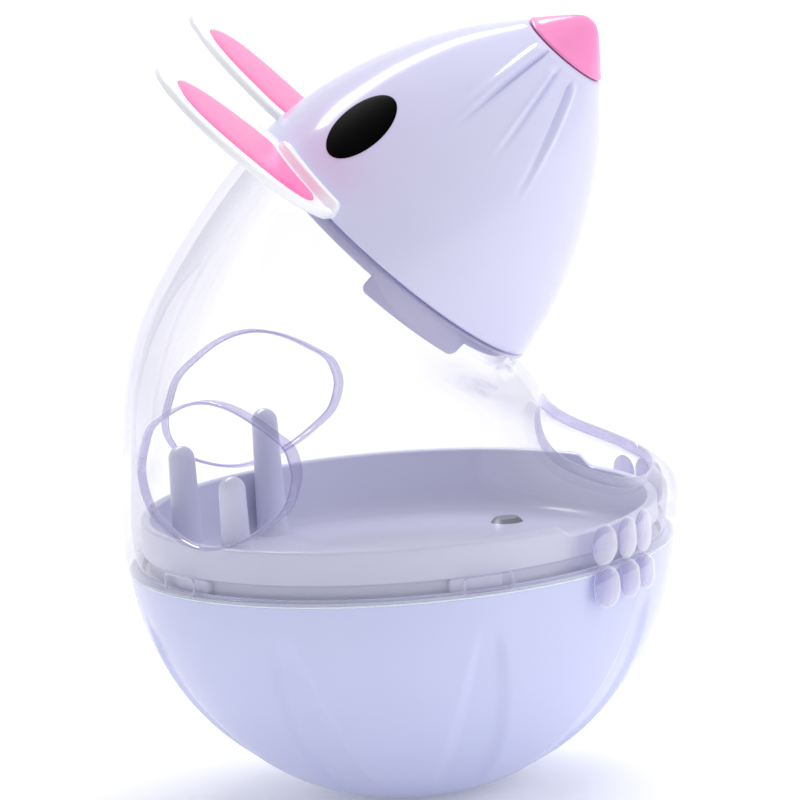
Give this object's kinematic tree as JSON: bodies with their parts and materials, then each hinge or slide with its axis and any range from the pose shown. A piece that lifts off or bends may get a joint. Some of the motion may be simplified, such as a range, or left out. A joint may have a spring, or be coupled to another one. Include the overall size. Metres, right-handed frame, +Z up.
{
  "type": "wobble treat dispenser",
  "caption": "Mouse-shaped weighted tumbler: round ballast bowl, clear treat chamber with outlets, and a lift-off head that closes the filling neck.",
  "frame": {"origin": "centre of the small flat under the bowl, on the surface it rests on", "axes": "+Z up, +X towards the nose, so the camera of the picture looks along +Y"},
  "size_m": [0.0863, 0.0862, 0.1193],
  "materials": {
    "bowl_plastic": "glossy",
    "tray_plastic": "glossy",
    "clear_plastic": "glossy",
    "head_plastic": "glossy",
    "ear_plastic": "glossy",
    "pink_plastic": "glossy",
    "black_plastic": "glossy",
    "steel": "brushed"
  },
  "bodies": {
    "base": {"base_bowl": "bowl_plastic", "counterweight": "steel", "weight_screw": "steel", "treat_tray": "tray_plastic", "tray_screws": "steel"},
    "dome": {"clear_dome": "clear_plastic"},
    "neck": {"neck_ring": "tray_plastic"},
    "head": {"head_shell": "head_plastic", "head_base": "tray_plastic", "head_screws": "steel", "ear_left": "ear_plastic", "ear_right": "ear_plastic", "ear_inlay_left": "pink_plastic", "ear_inlay_right": "pink_plastic", "eye_left": "black_plastic", "eye_right": "black_plastic", "nose": "pink_plastic"}
  },
  "joints": [
    {"name": "dome_lift", "type": "slide", "parent": "base", "child": "dome", "axis": [0, 0, 1], "range_m": [0, 0.07]},
    {"name": "head_turn", "type": "hinge", "parent": "dome", "child": "neck", "pos_m": [0.0023, 0, 0.0855], "axis": [0.7071, 0, 0.7071], "range_deg": [0, 30]},
    {"name": "head_lift", "type": "slide", "parent": "neck", "child": "head", "axis": [0.7071, 0, 0.7071], "range_m": [0, 0.05]}
  ]
}
